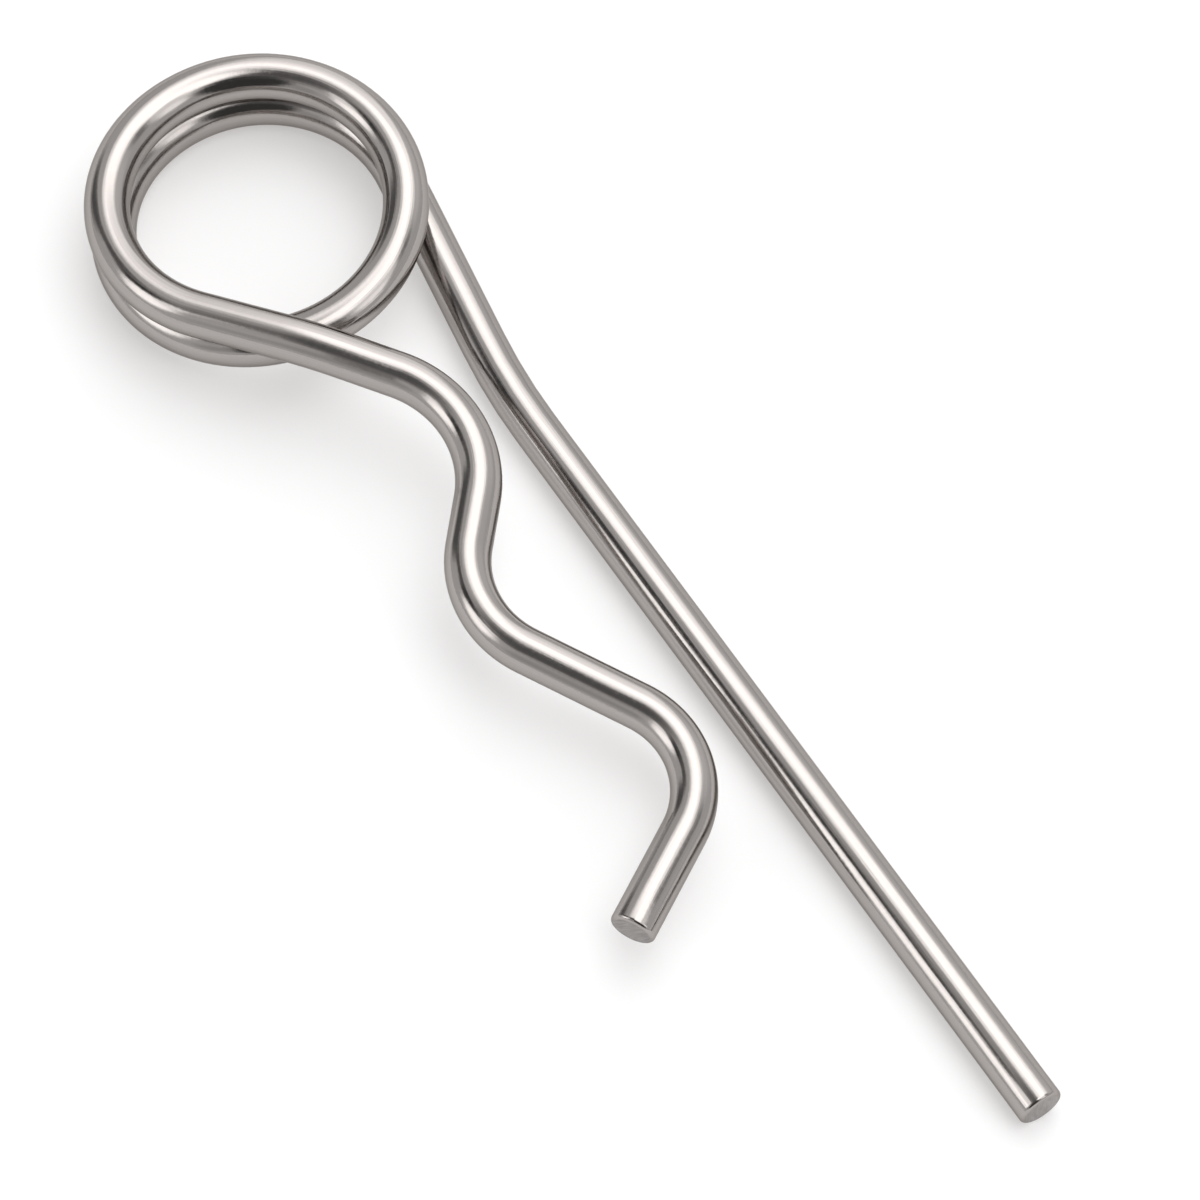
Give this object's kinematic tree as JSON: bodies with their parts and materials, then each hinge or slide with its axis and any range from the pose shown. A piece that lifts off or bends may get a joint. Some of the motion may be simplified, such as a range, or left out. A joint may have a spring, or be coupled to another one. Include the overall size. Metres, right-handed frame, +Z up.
{
  "type": "double loop beta pin",
  "caption": "Spring cotter bent from one round wire: a straight leg for a cross hole, a coil of stacked turns that springs, and a wavy arm that snaps over the shaft.",
  "frame": {"origin": "centre of the bounding box's bottom face, on the floor the pin lies on", "axes": "+X along the straight leg towards its free tip, +Y away from the wavy arm, +Z up from the floor"},
  "size_m": [0.1202, 0.03, 0.0109],
  "materials": {
    "bright_wire": "bright drawn stainless steel spring wire, smooth and shiny with faint lines along the wire; cut ends satin grey"
  },
  "bodies": {
    "root": {"bent_wire": "bright_wire"}
  },
  "joints": []
}
